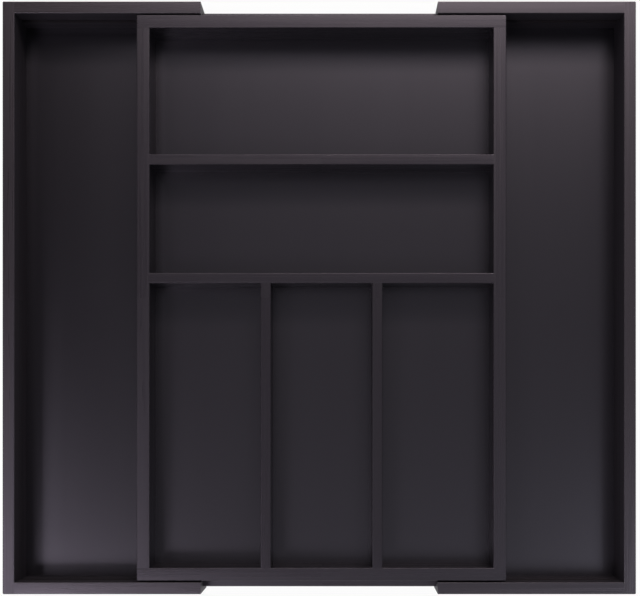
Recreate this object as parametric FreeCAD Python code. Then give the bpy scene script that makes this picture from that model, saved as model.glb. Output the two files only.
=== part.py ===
import FreeCAD, Part
import math
import os

# Expanding cutlery tray in black-stained bamboo: a fixed centre tray with five compartments, and a
# three-sided wing at each end. The wings' floors pass under the centre tray, and its two slide rails run in
# grooves in their front and back walls. Millimetres; +X to the right, +Y to the back, +Z up; the origin is on
# the surface that the tray stands on, under the middle of the centre tray.

# Overall
height = 56.0                # standing surface to rim
centre_width = 286.5         # centre tray, over its left and right walls
centre_depth = 438.6         # centre tray, over its front and back walls
centre_wall = 10.0
wing_wall = 9.2
overlap = 49.5               # wing wall beside the centre tray when a wing is fully out
right_wing_pushed_in = 3.5   # the right wing stands this far in from its stop

# Compartments of the centre tray
divider = 8.0
rear_length = 98.0           # rear compartment, front to back
second_length = 84.0         # the one in front of it
middle_width = 78.6          # between the two lengthwise dividers

# Floors, let into grooves round the walls
floor_thickness = 4.0
floor_lip = 3.0              # wall left below a floor
groove_depth = 4.0
groove_end_gap = 0.3         # floor edge to groove bottom

# Glued joints
glue_gap = 0.1
tongue_thickness = 5.0       # barefaced corner tongue, flush with the inside of its wall
tongue_length = 4.0
housing_depth = 3.0          # dividers let into the walls
housing_stop = 8.0           # tongues and housings end this far below the rim, out of sight

# Slides
side_gap = 1.2               # centre tray to a wing's front or back wall
lift_gap = 0.6               # wing floor to the underside of the centre tray
rail_height = 8.0
rail_drop = 22.0             # rim to the top of a rail
rail_reach = 6.4             # rail beyond the face of the centre tray
rail_seat = 3.0              # rail let into the wall that carries it
rail_easing = 0.5
slide_gap = 0.3              # rail to the groove it runs in, all round
meeting_gap = 0.6            # between the ends of the two wings when both are pushed in
closing_gap = 1.3            # wing's side wall to the centre tray when pushed in

# Stop pins, through the wing walls into a slot along each rail
pin_radius = 1.5
pin_inset = 9.0              # pin to the end of its wall
pin_set = 0.5                # pin punched below the outer face
pin_bite = 1.6               # pin beyond the rail's outer face
slot_depth = 2.2
slot_gap = 0.3               # pin to the sides and ends of its slot

# Softened edges
rim_radius = 0.5
corner_radius = 0.9          # outer upright corners

half_width = centre_width / 2
half_depth = centre_depth / 2
inner_half_width = half_width - centre_wall
inner_half_depth = half_depth - centre_wall
wing_reach = half_width - meeting_gap / 2 + closing_gap + wing_wall
wing_inner_y = half_depth + side_gap
wing_outer_y = wing_inner_y + wing_wall

wing_floor_z = (floor_lip, floor_lip + floor_thickness)
centre_base = wing_floor_z[1] + lift_gap
centre_floor_z = (centre_base + floor_lip, centre_base + floor_lip + floor_thickness)
floor_edge = groove_depth - groove_end_gap
hidden_top = height - housing_stop
rail_z = (height - rail_drop - rail_height, height - rail_drop)
rail_middle = sum(rail_z) / 2
rail_face = half_depth + rail_reach
rail_half_length = half_width - corner_radius
pin_stop_x = half_width - overlap + pin_inset

rear_divider_y = (inner_half_depth - rear_length - divider, inner_half_depth - rear_length)
front_divider_y = (rear_divider_y[0] - second_length - divider, rear_divider_y[0] - second_length)
right_divider_x = (middle_width / 2, middle_width / 2 + divider)

pick_tolerance = 0.01        # edges are picked by where they lie


def span(a, b):
    return (min(a, b), max(a, b))


def mirrored(pair):
    return (-pair[1], -pair[0])


def widened(pair, by):
    return (pair[0] - by, pair[1] + by)


def block(x, y, z):
    return Part.makeBox(x[1] - x[0], y[1] - y[0], z[1] - z[0], FreeCAD.Vector(x[0], y[0], z[0]))


def bar_along_y(radius, x, y, z):
    return Part.makeCylinder(radius, y[1] - y[0], FreeCAD.Vector(x, y[0], z), FreeCAD.Vector(0, 1, 0))


def lies_at(place, low, high):
    return abs(low - place) < pick_tolerance and abs(high - place) < pick_tolerance


def export(node, shape):
    shape.exportStep(os.path.join("parts", node + ".step"))


def flare_face(pair, place):
    # Section of an opening whose rim is rounded over: straight sides that curve outwards up to the rim.
    shoulder = height - rim_radius
    foot = shoulder - rim_radius
    above = height + rim_radius
    halfway = rim_radius * (1 - math.cos(math.pi / 4))

    def side(edge, out):
        # one side, from its foot up to above the rim
        lip = edge + out * rim_radius
        bend = place(edge + out * halfway, height - halfway)
        return [
            Part.makeLine(place(edge, foot), place(edge, shoulder)),
            Part.Arc(place(edge, shoulder), bend, place(lip, height)).toShape(),
            Part.makeLine(place(lip, height), place(lip, above)),
        ]

    low, high = pair
    across_top = Part.makeLine(place(low - rim_radius, above), place(high + rim_radius, above))
    across_foot = Part.makeLine(place(low, foot), place(high, foot))
    outline = Part.sortEdges(side(low, -1) + side(high, 1) + [across_top, across_foot])[0]
    return Part.Face(Part.Wire(outline))


def rounded_opening(x, y):
    # What rounding over the rim of an opening takes away, with the corners meeting in a mitre.
    start_x, end_x = widened(x, 2 * rim_radius)
    start_y, end_y = widened(y, 2 * rim_radius)
    along_y = flare_face(x, lambda u, z: FreeCAD.Vector(u, start_y, z))
    along_x = flare_face(y, lambda u, z: FreeCAD.Vector(start_x, u, z))
    return along_y.extrude(FreeCAD.Vector(0, end_y - start_y, 0)).common(
        along_x.extrude(FreeCAD.Vector(end_x - start_x, 0, 0)))


def eased_outside(x, y, z, open_x=None):
    # The outer form of a tray: upright corners and outer rim rounded, but not at an open end.
    def is_eased(edge):
        return open_x is None or not lies_at(open_x, edge.BoundBox.XMin, edge.BoundBox.XMax)

    form = block(x, y, z)
    corners = [e for e in form.Edges if e.BoundBox.ZLength > pick_tolerance]
    form = form.makeFillet(corner_radius, [e for e in corners if is_eased(e)])
    rim = [e for e in form.Edges if lies_at(z[1], e.BoundBox.ZMin, e.BoundBox.ZMax)]
    return form.makeFillet(rim_radius, [e for e in rim if is_eased(e)])


def floor_groove(x, y, z):
    return block(x, y, widened(z, glue_gap))


# Centre tray

inside_x = (-inner_half_width, inner_half_width)
inside_y = (-inner_half_depth, inner_half_depth)
left_x = (-inner_half_width, -right_divider_x[1])
middle_x = (-right_divider_x[0], right_divider_x[0])
front_y = (-inner_half_depth, front_divider_y[0])
centre_outside = eased_outside((-half_width, half_width), (-half_depth, half_depth), (centre_base, height))
centre_openings = [
    rounded_opening(inside_x, (rear_divider_y[1], inner_half_depth)),
    rounded_opening(inside_x, (front_divider_y[1], rear_divider_y[0])),
    rounded_opening(left_x, front_y),
    rounded_opening(middle_x, front_y),
    rounded_opening(mirrored(left_x), front_y),
]
centre_groove = floor_groove(widened(inside_x, groove_depth), widened(inside_y, groove_depth), centre_floor_z)


def housing(x, y):
    # The slot that takes a divider's tongue.
    return block(x, y, (centre_floor_z[0], hidden_top + glue_gap))


def centre_end_wall(side):
    # Front (side -1) or back (side 1) wall, over the full width, with the rail let into its outer face.
    y = span(side * inner_half_depth, side * half_depth)
    wall = block((-half_width, half_width), y, (centre_base, height)).common(centre_outside)
    rail_x = widened((-rail_half_length, rail_half_length), glue_gap)
    rail_y = span(side * (half_depth - rail_seat - glue_gap), side * rail_face)
    cuts = [centre_groove, block(rail_x, rail_y, widened(rail_z, glue_gap))]
    tongue_x = widened((inner_half_width, inner_half_width + tongue_thickness), glue_gap)
    tongue_y = span(side * inner_half_depth, side * (inner_half_depth + tongue_length + glue_gap))
    for x in (tongue_x, mirrored(tongue_x)):
        cuts.append(block(x, tongue_y, (centre_base, hidden_top + glue_gap)))
    if side < 0:
        for x in (right_divider_x, mirrored(right_divider_x)):
            seat = (-inner_half_depth - housing_depth, -inner_half_depth)
            cuts.append(housing(widened(x, glue_gap), seat))
    return wall.cut(cuts + centre_openings)


def centre_side_wall(side):
    # Left (side -1) or right (side 1) wall, tongued into the front and back walls.
    x = span(side * inner_half_width, side * half_width)
    wall = block(x, inside_y, (centre_base, height)).common(centre_outside)
    tongue_x = span(side * inner_half_width, side * (inner_half_width + tongue_thickness))
    tongues = block(tongue_x, widened(inside_y, tongue_length), (centre_base, hidden_top))
    seat = span(side * inner_half_width, side * (inner_half_width + housing_depth))
    housings = [housing(seat, widened(y, glue_gap)) for y in (rear_divider_y, front_divider_y)]
    return wall.fuse(tongues).cut([centre_groove] + housings + centre_openings).removeSplitter()


def divider_board(x, y, tongue_x, tongue_y):
    # A divider flush with the rim, with tongues that stop short of it.
    board = block(x, y, (centre_floor_z[1], height))
    tongues = block(tongue_x, tongue_y, (centre_floor_z[1], hidden_top))
    return board.fuse(tongues).cut(centre_openings)


def cross_divider(y):
    return divider_board(inside_x, y, widened(inside_x, housing_depth - glue_gap), y)


def lengthwise_divider(x):
    return divider_board(x, front_y, x, widened(front_y, housing_depth - glue_gap))


def front_cross_divider():
    # The one that the lengthwise dividers are let into.
    seat = (front_divider_y[0], front_divider_y[0] + housing_depth)
    housings = [housing(widened(x, glue_gap), seat) for x in (right_divider_x, mirrored(right_divider_x))]
    return cross_divider(front_divider_y).cut(housings)


def slide_rail(side):
    # Front (side -1) or back (side 1) rail, with a slot along it that ends where the stop pins fetch up.
    rail_x = (-rail_half_length, rail_half_length)
    rail = block(rail_x, span(side * (half_depth - rail_seat), side * rail_face), rail_z)
    outer = [e for e in rail.Edges if lies_at(side * rail_face, e.BoundBox.YMin, e.BoundBox.YMax)]
    rail = rail.makeFillet(rail_easing, [e for e in outer if e.BoundBox.XLength > pick_tolerance])
    slot_radius = pin_radius + slot_gap
    slot_y = span(side * (rail_face - slot_depth), side * (rail_face + slot_depth))
    slot_z = (rail_middle - slot_radius, rail_middle + slot_radius)
    ends = [bar_along_y(slot_radius, x, slot_y, rail_middle) for x in (-pin_stop_x, pin_stop_x)]
    slot = block((-pin_stop_x, pin_stop_x), slot_y, slot_z).fuse(ends)
    return rail.cut(slot.removeSplitter())


def centre_floor():
    return block(widened(inside_x, floor_edge), widened(inside_y, floor_edge), centre_floor_z)


def centre_tray():
    export("centre_front_wall", centre_end_wall(-1))
    export("centre_back_wall", centre_end_wall(1))
    export("centre_left_wall", centre_side_wall(-1))
    export("centre_right_wall", centre_side_wall(1))
    export("centre_floor", centre_floor())
    export("rear_cross_divider", cross_divider(rear_divider_y).removeSplitter())
    export("front_cross_divider", front_cross_divider().removeSplitter())
    export("left_lengthwise_divider", lengthwise_divider(mirrored(right_divider_x)).removeSplitter())
    export("right_lengthwise_divider", lengthwise_divider(right_divider_x).removeSplitter())
    export("front_slide_rail", slide_rail(-1))
    export("back_slide_rail", slide_rail(1))


# Wings

wing_inside_y = (-wing_inner_y, wing_inner_y)
wing_outside_y = (-wing_outer_y, wing_outer_y)


class Wing:
    # Left (side -1) or right (side 1) wing, open at its inner end. Its side wall runs the full depth.
    def __init__(self, side, pushed_in):
        self.side = side
        self.inner_end = side * (half_width - overlap - pushed_in)
        self.outer_face = self.inner_end + side * wing_reach
        self.side_inner = self.outer_face - side * wing_wall
        self.past_end = self.inner_end - side * wing_wall
        self.pin_x = self.inner_end + side * pin_inset
        self.outside = eased_outside(span(self.inner_end, self.outer_face), wing_outside_y, (0, height),
                                     self.inner_end)
        self.opening = rounded_opening(span(self.past_end, self.side_inner), wing_inside_y)
        self.groove = floor_groove(span(self.past_end, self.side_inner + side * groove_depth),
                                   widened(wing_inside_y, groove_depth), wing_floor_z)

    def side_wall(self):
        x = span(self.side_inner, self.outer_face)
        wall = block(x, wing_outside_y, (0, height)).common(self.outside)
        tongue_x = span(self.side_inner, self.side_inner + self.side * (tongue_length + glue_gap))
        tongue_y = widened((wing_inner_y, wing_inner_y + tongue_thickness), glue_gap)
        dados = [block(tongue_x, y, (0, hidden_top + glue_gap)) for y in (tongue_y, mirrored(tongue_y))]
        return wall.cut([self.groove, self.opening] + dados)

    def end_wall(self, end):
        # Front (end -1) or back (end 1) wall, grooved for the rail, bored for the stop pin and tongued into
        # the side wall.
        x = span(self.inner_end, self.side_inner)
        wall = block(x, span(end * wing_inner_y, end * wing_outer_y), (0, height)).common(self.outside)
        tongue_x = span(self.inner_end, self.side_inner + self.side * tongue_length)
        tongue_y = span(end * wing_inner_y, end * (wing_inner_y + tongue_thickness))
        tongue = block(tongue_x, tongue_y, (0, hidden_top))
        groove_x = span(self.past_end, self.side_inner)
        groove_y = span(end * half_depth, end * (rail_face + slide_gap))
        rail_groove = block(groove_x, groove_y, widened(rail_z, slide_gap))
        hole_y = span(end * half_depth, end * (wing_outer_y + wing_wall))
        hole = bar_along_y(pin_radius + glue_gap, self.pin_x, hole_y, rail_middle)
        return wall.fuse(tongue).cut([self.groove, self.opening, rail_groove, hole]).removeSplitter()

    def stop_pin(self, end):
        y = span(end * (rail_face - pin_bite), end * (wing_outer_y - pin_set))
        return bar_along_y(pin_radius, self.pin_x, y, rail_middle)

    def floor(self):
        x = span(self.inner_end, self.side_inner + self.side * floor_edge)
        return block(x, widened(wing_inside_y, floor_edge), wing_floor_z)

    def build(self, name):
        export(name + "_side_wall", self.side_wall())
        export(name + "_front_wall", self.end_wall(-1))
        export(name + "_back_wall", self.end_wall(1))
        export(name + "_floor", self.floor())
        export(name + "_stop_pins", Part.makeCompound([self.stop_pin(-1), self.stop_pin(1)]))


os.makedirs("parts", exist_ok=True)
centre_tray()
Wing(-1, 0.0).build("left_wing")
Wing(1, right_wing_pushed_in).build("right_wing")
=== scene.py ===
import bpy
import math
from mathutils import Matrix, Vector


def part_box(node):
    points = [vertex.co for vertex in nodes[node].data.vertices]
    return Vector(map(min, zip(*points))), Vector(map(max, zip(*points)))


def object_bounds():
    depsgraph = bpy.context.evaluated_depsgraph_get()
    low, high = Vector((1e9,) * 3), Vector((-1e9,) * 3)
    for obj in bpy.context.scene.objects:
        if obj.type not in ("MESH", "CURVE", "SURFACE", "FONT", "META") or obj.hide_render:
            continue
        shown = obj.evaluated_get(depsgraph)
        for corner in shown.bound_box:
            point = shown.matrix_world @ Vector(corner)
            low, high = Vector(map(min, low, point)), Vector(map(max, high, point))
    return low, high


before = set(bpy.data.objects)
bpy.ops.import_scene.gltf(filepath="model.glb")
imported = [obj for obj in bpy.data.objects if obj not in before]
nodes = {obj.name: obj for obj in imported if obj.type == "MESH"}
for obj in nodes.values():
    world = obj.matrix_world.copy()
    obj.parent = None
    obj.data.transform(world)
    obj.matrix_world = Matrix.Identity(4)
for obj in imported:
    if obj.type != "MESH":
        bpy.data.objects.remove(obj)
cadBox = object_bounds()
mm = 0.001
mixA, mixB, mixOut = 6, 7, 2    # a Mix node's colour sockets, by number because others share their names
plainWhite = (1, 1, 1, 1)
print("frame loaded:", len(nodes), "pieces")


def linearColour(hexText):
    channels = [int(hexText[i:i + 2], 16) / 255 for i in (1, 3, 5)]
    linear = [c / 12.92 if c <= 0.04045 else ((c + 0.055) / 1.055) ** 2.4 for c in channels]
    return (*linear, 1.0)


def addNode(tree, kind, settings=None, values=None, links=None):
    node = tree.nodes.new(kind)
    for key, value in (settings or {}).items():
        setattr(node, key, value)
    for key, value in (values or {}).items():
        node.inputs[key].default_value = value
    for key, socket in (links or {}).items():
        tree.links.new(socket, node.inputs[key])
    return node


def newMaterial(name):
    material = bpy.data.materials.new(name)
    material.use_nodes = True
    material.node_tree.nodes.clear()
    return material, material.node_tree


# Black-stained bamboo, sawn into strips, glued up, planed, sanded and given a thin satin lacquer.
# The stain soaks into the soft tissue and leaves the fibres a little paler and shinier, so that fine
# streaks run along each board. Sanding has left the rims very slightly crowned, which spreads the light
# across them. Faces that look up take rim colours of their own; on the wings these are paler, which is
# painted light for the brighter light the wings' rims catch. The wings also have duller sides, and the
# two short dividers are duller all over.
centreBoard = {
    "stain": "#0d0b0f",
    "fibre": "#151216",
    "rimStainAndPaintedLight": "#070608",
    "rimFibreAndPaintedLight": "#19161b",
    "rimFrom": 0.6,          # how far a face looks up, 0 on a side and 1 on a rim, where rim colours begin
    "rimTo": 0.9,            # and where they are full
    "lacquerTint": "#f5eaff",
    "stripHeight": 19.0,     # mm, one laminated strip up the side of a board
    "stripWidth": 9.0,       # mm, one strip across a rim
    "stripTone": 0.12,       # how far a strip is paler or darker than the next
    "fibreWidth": 1.6,       # mm, about three times the real width so that it shows
    "fibreLength": 110.0,    # mm
    "fibreDetail": 3.0,
    "fibreBreakUp": 0.6,
    "fibreFrom": 0.39,       # share of the noise below which all is stained tissue
    "fibreTo": 0.64,         # and above which all is fibre
    "fibreRelief": 0.004,    # mm
    "crown": 0.035,          # mm that a rim falls from its middle to its edges
    "roughness": 0.30,
    "roughnessSpread": 0.10,
    "gloss": 0.57,           # reflection of the lacquer, 0.5 is an index of 1.5
    "sideDullness": 0.0,     # roughness added on the sides of a board
}
dividerBoard = {**centreBoard, "gloss": 0.46}
wingBoard = {
    **centreBoard,
    # paler rim colours: painted light standing in for the brighter light the wings' rims catch
    "rimStainAndPaintedLight": "#110e10",
    "rimFibreAndPaintedLight": "#252124",
    "gloss": 0.65,
    "sideDullness": 0.35,
}

# Bamboo ply, sanded, stained and lacquered: a closed face, smoother than the boards' and with hardly any
# of their streaks.
floorPly = {
    **centreBoard,
    "stain": "#0a090c",
    "fibre": "#0d0b0f",
    "rimStainAndPaintedLight": "#0a090c",
    "rimFibreAndPaintedLight": "#0d0b0f",
    "lacquerTint": "#f3eaff",
    "stripHeight": 21.0,     # mm
    "stripWidth": 21.0,      # mm
    "fibreWidth": 1.1,       # mm, about twice the real width
    "fibreLength": 140.0,    # mm
    "fibreFrom": 0.3,
    "fibreTo": 0.75,
    "fibreRelief": 0.0005,   # mm
    "crown": 0.0,
    "roughness": 0.24,
    "roughnessSpread": 0.02,
    "gloss": 0.64,
}


def bambooMaterial(name, look, alongY):
    material, tree = newMaterial(name)
    place = addNode(tree, "ShaderNodeTexCoord")
    turn = addNode(tree, "ShaderNodeMapping",
                   values={"Rotation": (0, 0, math.radians(-90 if alongY else 0))},
                   links={"Vector": place.outputs["Object"]})
    grain = turn.outputs["Vector"]    # X along the board, Y across it, Z up

    # long thin fibres, over a tone of its own for each strip
    fibreScale = [1 / (look[key] * mm) for key in ("fibreLength", "fibreWidth", "fibreWidth")]
    stretched = addNode(tree, "ShaderNodeVectorMath", {"operation": "MULTIPLY"},
                        {1: fibreScale}, {0: grain})
    fibres = addNode(tree, "ShaderNodeTexNoise",
                     values={"Scale": 1.0, "Detail": look["fibreDetail"],
                             "Roughness": look["fibreBreakUp"]},
                     links={"Vector": stretched.outputs[0]})
    stripScale = [0, 1 / (look["stripWidth"] * mm), 1 / (look["stripHeight"] * mm)]
    strips = addNode(tree, "ShaderNodeVectorMath", {"operation": "MULTIPLY"},
                     {1: stripScale}, {0: grain})
    strip = addNode(tree, "ShaderNodeVectorMath", {"operation": "FLOOR"}, links={0: strips.outputs[0]})
    tone = addNode(tree, "ShaderNodeTexWhiteNoise", links={"Vector": strip.outputs[0]})
    toneShift = addNode(tree, "ShaderNodeMapRange",
                        values={"To Min": -look["stripTone"], "To Max": look["stripTone"]},
                        links={"Value": tone.outputs["Value"]})
    shade = addNode(tree, "ShaderNodeMath", {"operation": "ADD"},
                    links={0: fibres.outputs["Fac"], 1: toneShift.outputs["Result"]})
    fibre = addNode(tree, "ShaderNodeMapRange",
                    values={"From Min": look["fibreFrom"], "From Max": look["fibreTo"]},
                    links={"Value": shade.outputs[0]}).outputs["Result"]

    # the stain on the sides, and on faces that look up the rim colours, which on the wings are paler as
    # painted light for the light their rims catch
    side = addNode(tree, "ShaderNodeMix", {"data_type": "RGBA"},
                   {mixA: linearColour(look["stain"]), mixB: linearColour(look["fibre"])}, {0: fibre})
    rim = addNode(tree, "ShaderNodeMix", {"data_type": "RGBA"},
                  {mixA: linearColour(look["rimStainAndPaintedLight"]), mixB: linearColour(look["rimFibreAndPaintedLight"])}, {0: fibre})
    facing = addNode(tree, "ShaderNodeSeparateXYZ",
                     links={0: addNode(tree, "ShaderNodeNewGeometry").outputs["Normal"]})
    upward = addNode(tree, "ShaderNodeMapRange",
                     values={"From Min": look["rimFrom"], "From Max": look["rimTo"]},
                     links={"Value": facing.outputs["Z"]})
    colour = addNode(tree, "ShaderNodeMix", {"data_type": "RGBA"},
                     links={0: upward.outputs["Result"],
                            mixA: side.outputs[mixOut], mixB: rim.outputs[mixOut]})

    # the lacquer, smoother on the fibres
    polish = addNode(tree, "ShaderNodeMapRange",
                     values={"To Min": look["roughness"] + look["roughnessSpread"] / 2,
                             "To Max": look["roughness"] - look["roughnessSpread"] / 2},
                     links={"Value": fibre})
    dull = addNode(tree, "ShaderNodeMapRange", values={"To Min": look["sideDullness"], "To Max": 0.0},
                   links={"Value": upward.outputs["Result"]})
    rough = addNode(tree, "ShaderNodeMath", {"operation": "ADD"},
                    links={0: polish.outputs["Result"], 1: dull.outputs["Result"]})

    # the rim's crown and the raised fibres, in mm
    inBox = addNode(tree, "ShaderNodeSeparateXYZ", links={0: place.outputs["Generated"]})
    across = addNode(tree, "ShaderNodeMapRange", values={"To Min": -1.0, "To Max": 1.0},
                     links={"Value": inBox.outputs["X" if alongY else "Y"]}).outputs["Result"]
    fall = addNode(tree, "ShaderNodeMath", {"operation": "MULTIPLY"}, links={0: across, 1: across})
    crown = addNode(tree, "ShaderNodeMath", {"operation": "MULTIPLY"}, {1: -look["crown"]},
                    {0: fall.outputs[0]})
    height = addNode(tree, "ShaderNodeMath", {"operation": "MULTIPLY_ADD"}, {1: look["fibreRelief"]},
                     {0: fibres.outputs["Fac"], 2: crown.outputs[0]})
    relief = addNode(tree, "ShaderNodeBump", values={"Distance": mm}, links={"Height": height.outputs[0]})

    surface = addNode(tree, "ShaderNodeBsdfPrincipled",
                      values={"Specular IOR Level": look["gloss"],
                              "Specular Tint": linearColour(look["lacquerTint"])},
                      links={"Base Color": colour.outputs[mixOut], "Roughness": rough.outputs[0],
                             "Normal": relief.outputs["Normal"]})
    addNode(tree, "ShaderNodeOutputMaterial", links={"Surface": surface.outputs["BSDF"]})
    return material


# Mild steel pin, drawn and chemically blackened: a dull dark metal with a slightly cloudy gloss.
steelPin = {
    "black": "#1d1c1e",
    "bare": "#39383a",
    "cloud": 0.8,            # mm
    "cloudDetail": 2.0,
    "metallic": 0.8,
    "roughness": 0.5,
}


def blackenedSteel(name, look):
    material, tree = newMaterial(name)
    place = addNode(tree, "ShaderNodeTexCoord")
    clouds = addNode(tree, "ShaderNodeTexNoise",
                     values={"Scale": 1 / (look["cloud"] * mm), "Detail": look["cloudDetail"]},
                     links={"Vector": place.outputs["Object"]})
    colour = addNode(tree, "ShaderNodeMix", {"data_type": "RGBA"},
                     {mixA: linearColour(look["black"]), mixB: linearColour(look["bare"])},
                     {0: clouds.outputs["Fac"]})
    surface = addNode(tree, "ShaderNodeBsdfPrincipled",
                      values={"Metallic": look["metallic"], "Roughness": look["roughness"]},
                      links={"Base Color": colour.outputs[mixOut]})
    addNode(tree, "ShaderNodeOutputMaterial", links={"Surface": surface.outputs["BSDF"]})
    return material


def dress():
    pins = blackenedSteel("blackenedSteelPin", steelPin)
    ply = bambooMaterial("blackBambooPly", floorPly, True)
    divider = bambooMaterial("blackBamboo_divider_lengthwise", dividerBoard, True)
    boards = {}
    for body, look in (("centre", centreBoard), ("wing", wingBoard)):
        boards[body, False] = bambooMaterial(f"blackBamboo_{body}_across", look, False)
        boards[body, True] = bambooMaterial(f"blackBamboo_{body}_lengthwise", look, True)
    for name, piece in nodes.items():
        low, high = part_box(name)
        if name.endswith("_pins"):
            finish = pins
        elif name.endswith("_floor"):
            finish = ply
        elif name.endswith("_lengthwise_divider"):
            finish = divider
        else:
            body = "centre" if name.startswith("centre") or name.endswith("_divider") else "wing"
            finish = boards[body, high.y - low.y > high.x - low.x]    # the grain runs along the longer side
        for place in piece.material_slots:
            place.material = finish


dress()
print("materials on", len(nodes), "pieces")


# The photograph looks straight down, from over the front half of the tray and a little right of its
# middle, with its frame shifted back over the whole tray.
camera = {
    "pixel": 0.775,          # mm of rim per image pixel
    "imageWidth": 640,
    "imageHeight": 596,
    "aboveRim": 1300.0,      # mm
    "middleX": 321.5,        # pixel column of the centre tray's middle
    "middleY": 297.8,        # pixel row of the centre tray's middle
    "footX": 345.0,          # pixel column straight below the camera
    "footY": 424.0,          # pixel row straight below the camera
    "sensor": 36.0,          # mm
    "sight": 50.0,           # m, as far as it sees
}


def placeCamera():
    data = bpy.data.cameras.new("trayCamera")
    eye = bpy.data.objects.new("trayCamera", data)
    bpy.context.scene.collection.objects.link(eye)
    pixel = camera["pixel"] * mm
    eye.location = (
        (camera["footX"] - camera["middleX"]) * pixel,
        (camera["middleY"] - camera["footY"]) * pixel,
        cadBox[1].z + camera["aboveRim"] * mm)
    data.sensor_width = camera["sensor"]
    data.lens = camera["sensor"] * camera["aboveRim"] / (camera["pixel"] * camera["imageWidth"])
    data.shift_x = (camera["imageWidth"] / 2 - camera["footX"]) / camera["imageWidth"]
    data.shift_y = (camera["footY"] - camera["imageHeight"] / 2) / camera["imageWidth"]
    data.clip_end = camera["sight"]
    bpy.context.scene.camera = eye


placeCamera()
print("camera placed")


# A pale studio floor with a white backdrop round it, under a dome that glows near the horizon.
studio = {
    "floorColour": "#f4f4f4",
    "floorSize": 12.0,       # m
    "floorGap": 0.3,         # mm below the tray
    "floorWhite": 0.95,      # share of plain white that is seen, the rest is lit and shadowed
    "horizon": 0.6,          # strength of the dome's glow
    "domeFrom": 0.2,         # height on the dome, 0 at the horizon and 1 overhead, where the glow fades
    "domeTo": 0.8,           # and where it is gone
    "backdrop": 0.985,       # white that is seen above the floor's far edge
    "backdropFrom": 0.27,    # heights where it fades and is gone
    "backdropTo": 0.4,
}

# Flat softboxes overhead, placed in m, with their power in W. A feathered one grows brighter along its
# length, away from the camera. They hang at three heights: two in one plane would hide each other.
lamps = [
    {"name": "overheadSoftbox", "at": (0.17, 0.15, 2.0), "size": (1.2, 1.5), "power": 2.2},
    {"name": "backSoftbox", "at": (0.37, 0.92, 2.05), "size": (1.6, 0.95), "power": 9.7,
     "feather": 2, "colour": "#fffaf6"},
    {"name": "backRightSoftbox", "at": (0.37, 1.16, 2.1), "size": (1.0, 0.8), "power": 27.0,
     "feather": 2, "colour": "#fff4ea"},
    {"name": "backLeftSoftbox", "at": (-0.83, 1.55, 2.0), "size": (0.8, 0.5), "power": 7.0,
     "colour": "#fff4ea"},
    {"name": "leftSoftbox", "at": (-0.98, -0.48, 2.0), "size": (0.5, 0.65), "power": 5.4,
     "colour": "#fffaff"},
    {"name": "frontLeftSoftbox", "at": (-0.63, -0.85, 2.05), "size": (0.4, 0.5), "power": 9.0,
     "colour": "#fffaff"},
    {"name": "frontSoftbox", "at": (0.57, -0.48, 2.05), "size": (1.2, 0.65), "power": 1.0,
     "turn": 180, "feather": 1, "colour": "#f6fbff"},
    {"name": "frontRightSoftbox", "at": (0.87, -0.52, 2.1), "size": (0.6, 0.75), "power": 2.8,
     "turn": 180, "feather": 1, "colour": "#f6fbff"},
]


def seenRays(tree):
    path = addNode(tree, "ShaderNodeLightPath")
    seen = addNode(tree, "ShaderNodeMath", {"operation": "MAXIMUM"},
                   links={0: path.outputs["Is Camera Ray"], 1: path.outputs["Is Glossy Ray"]})
    return addNode(tree, "ShaderNodeMath", {"operation": "MAXIMUM"},
                   links={0: seen.outputs[0], 1: path.outputs["Is Transmission Ray"]}).outputs[0]


def makeFloor():
    half = studio["floorSize"] / 2
    corners = [(-half, -half, 0), (half, -half, 0), (half, half, 0), (-half, half, 0)]
    mesh = bpy.data.meshes.new("studioFloor")
    mesh.from_pydata(corners, [], [(0, 1, 2, 3)])
    floor = bpy.data.objects.new("studioFloor", mesh)
    floor.location.z = cadBox[0].z - studio["floorGap"] * mm
    bpy.context.scene.collection.objects.link(floor)
    material, tree = newMaterial("paintedStudioFloor")
    share = addNode(tree, "ShaderNodeMath", {"operation": "MULTIPLY"}, {1: studio["floorWhite"]},
                    {0: seenRays(tree)})
    paint = addNode(tree, "ShaderNodeBsdfDiffuse", values={"Color": linearColour(studio["floorColour"])})
    white = addNode(tree, "ShaderNodeEmission", values={"Color": plainWhite, "Strength": 1.0})
    both = addNode(tree, "ShaderNodeMixShader",
                   links={0: share.outputs[0], 1: paint.outputs[0], 2: white.outputs[0]})
    addNode(tree, "ShaderNodeOutputMaterial", links={"Surface": both.outputs[0]})
    mesh.materials.append(material)


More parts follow.
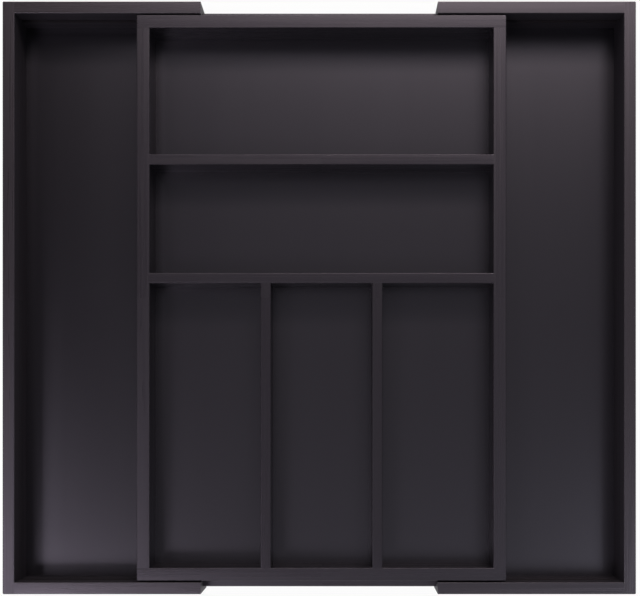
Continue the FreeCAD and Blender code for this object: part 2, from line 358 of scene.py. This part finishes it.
def makeDome():
    world = bpy.data.worlds.new("studioDome")
    world.use_nodes = True
    tree = world.node_tree
    tree.nodes.clear()
    place = addNode(tree, "ShaderNodeTexCoord")
    split = addNode(tree, "ShaderNodeSeparateXYZ", links={0: place.outputs["Generated"]})
    glow = addNode(tree, "ShaderNodeMapRange", {"interpolation_type": "SMOOTHSTEP"},
                   {"From Min": studio["domeFrom"], "From Max": studio["domeTo"],
                    "To Min": studio["horizon"], "To Max": 0.0},
                   {"Value": split.outputs["Z"]})
    wall = addNode(tree, "ShaderNodeMapRange", {"interpolation_type": "SMOOTHSTEP"},
                   {"From Min": studio["backdropFrom"], "From Max": studio["backdropTo"],
                    "To Min": studio["backdrop"], "To Max": 0.0},
                   {"Value": split.outputs["Z"]})
    seen = addNode(tree, "ShaderNodeMath", {"operation": "MULTIPLY"},
                   links={0: wall.outputs[0], 1: seenRays(tree)})
    both = addNode(tree, "ShaderNodeMath", {"operation": "MAXIMUM"},
                   links={0: glow.outputs[0], 1: seen.outputs[0]})
    sky = addNode(tree, "ShaderNodeBackground", values={"Color": plainWhite},
                  links={"Strength": both.outputs[0]})
    addNode(tree, "ShaderNodeOutputWorld", links={"Surface": sky.outputs[0]})
    bpy.context.scene.world = world


def makeLamps():
    for lamp in lamps:
        data = bpy.data.lights.new(lamp["name"], "AREA")
        data.shape = "RECTANGLE"
        data.size, data.size_y = lamp["size"]
        feather = lamp.get("feather", 0)
        data.color = linearColour(lamp.get("colour", "#ffffff"))[:3]
        data.energy = lamp["power"] * (feather + 1)    # the feathering takes the rest away again
        data.use_nodes = True
        tree = data.node_tree
        tree.nodes.clear()
        place = addNode(tree, "ShaderNodeNewGeometry")
        across = addNode(tree, "ShaderNodeSeparateXYZ", links={0: place.outputs["Parametric"]})
        glow = addNode(tree, "ShaderNodeMath", {"operation": "POWER"},
                       {1: feather}, {0: across.outputs["Y"]})
        shine = addNode(tree, "ShaderNodeEmission", links={"Strength": glow.outputs[0]})
        addNode(tree, "ShaderNodeOutputLight", links={"Surface": shine.outputs[0]})
        light = bpy.data.objects.new(lamp["name"], data)
        light.location = lamp["at"]
        light.rotation_euler.z = math.radians(lamp.get("turn", 0))
        light.visible_camera = False
        bpy.context.scene.collection.objects.link(light)


makeFloor()
makeDome()
makeLamps()
bpy.context.scene.view_settings.view_transform = "Standard"
print("floor, dome and lamps ready")
